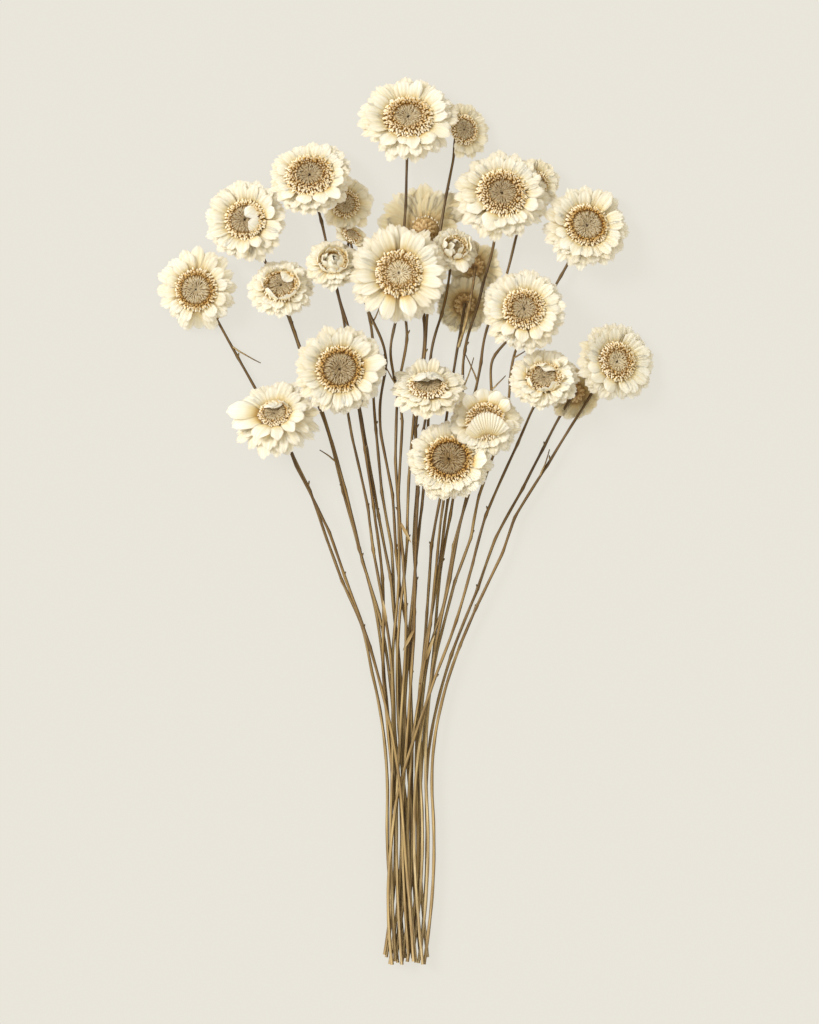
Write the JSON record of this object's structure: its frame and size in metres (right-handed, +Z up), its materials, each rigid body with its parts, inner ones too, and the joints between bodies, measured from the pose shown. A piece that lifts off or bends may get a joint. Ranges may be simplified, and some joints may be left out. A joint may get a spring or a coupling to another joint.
{
  "type": "dried star flower bunch",
  "caption": "Loose bunch of dried star flowers: papery cream petals round brown discs on long thin brown stems, laid down flat.",
  "frame": {"origin": "on the surface that the bunch lies on, under the middle of its bounding box", "axes": "+Z up off the surface, +Y along the stems from the cut feet to the flower heads, +X to the right as seen from above with the heads away"},
  "size_m": [0.2508, 0.4459, 0.0359],
  "materials": {
    "stem": "dry ribbed bark, dark brown at the top and paler tan at the foot, matt; the discs are grey brown with cream floret tips",
    "petals": "dry papery petal, finely striped lengthwise, cream white with tan roots, with a faint silky sheen"
  },
  "bodies": {
    "root": {"flower_01_stem": "stem", "flower_02_stem": "stem", "flower_03_stem": "stem", "flower_04_stem": "stem", "flower_05_stem": "stem", "flower_06_stem": "stem", "flower_07_stem": "stem", "flower_08_stem": "stem", "flower_09_stem": "stem", "flower_10_stem": "stem", "flower_11_stem": "stem", "flower_12_stem": "stem", "flower_13_stem": "stem", "flower_14_stem": "stem", "flower_15_stem": "stem", "flower_17_stem": "stem", "flower_18_stem": "stem", "flower_19_stem": "stem", "flower_20_stem": "stem", "flower_21_stem": "stem", "flower_22_stem": "stem", "flower_23_stem": "stem", "flower_24_stem": "stem", "flower_25_stem": "stem", "flower_26_stem": "stem", "flower_01_petals": "petals", "flower_02_petals": "petals", "flower_03_petals": "petals", "flower_04_petals": "petals", "flower_05_petals": "petals", "flower_06_petals": "petals", "flower_07_petals": "petals", "flower_08_petals": "petals", "flower_09_petals": "petals", "flower_10_petals": "petals", "flower_11_petals": "petals", "flower_12_petals": "petals", "flower_13_petals": "petals", "flower_14_petals": "petals", "flower_15_petals": "petals", "flower_16_petals": "petals", "flower_17_petals": "petals", "flower_18_petals": "petals", "flower_19_petals": "petals", "flower_20_petals": "petals", "flower_21_petals": "petals", "flower_22_petals": "petals", "flower_23_petals": "petals", "flower_24_petals": "petals", "flower_25_petals": "petals", "flower_26_petals": "petals"}
  },
  "joints": []
}
